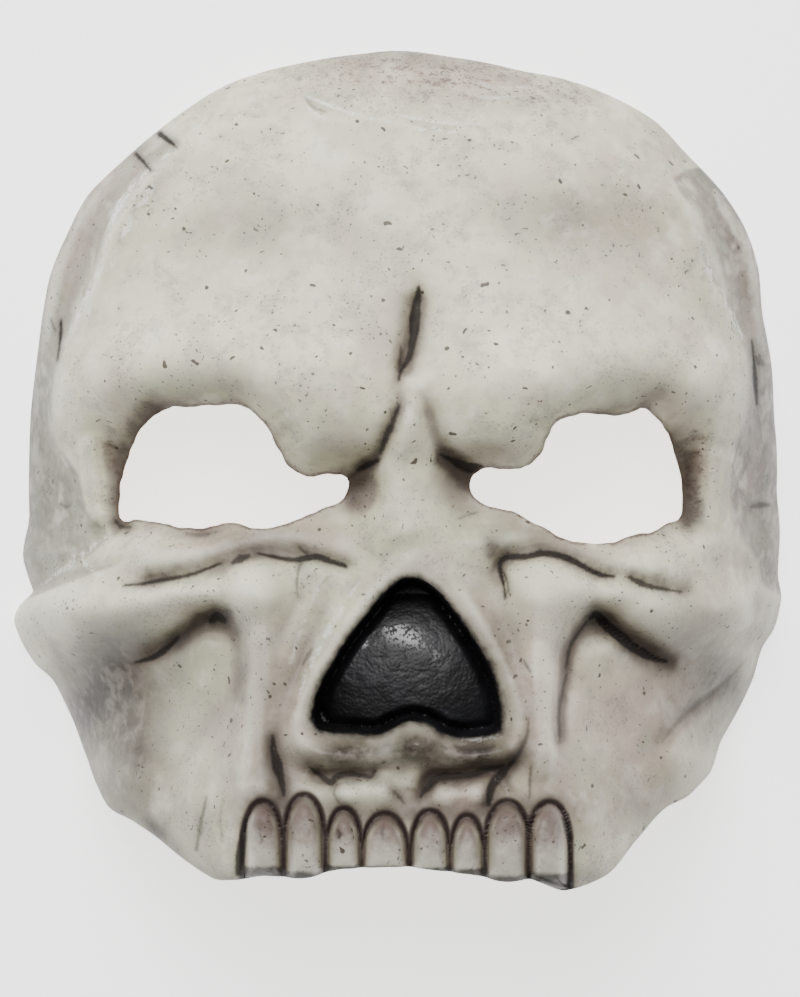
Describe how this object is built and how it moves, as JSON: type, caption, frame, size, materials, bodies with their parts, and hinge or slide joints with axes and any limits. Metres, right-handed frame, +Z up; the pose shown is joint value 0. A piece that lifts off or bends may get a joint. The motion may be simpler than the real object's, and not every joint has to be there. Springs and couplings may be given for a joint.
{
  "type": "skull mask",
  "caption": "Moulded latex skull half mask with heavy brows, open eye holes, a sunken nose, hollow cheeks and an upper tooth row; it ends above the mouth.",
  "frame": {"origin": "middle of the mask's outline, in the plane of its rim: the mask lies face up on the rim of its forehead, temples and cheeks", "axes": "+X towards the viewer's right as one faces the mask, +Y from the teeth towards the crown, +Z up, away from the rim's plane"},
  "size_m": [0.2062, 0.2088, 0.0933],
  "materials": {
    "latex": "satin"
  },
  "bodies": {
    "root": {"mask_shell": "latex"}
  },
  "joints": []
}
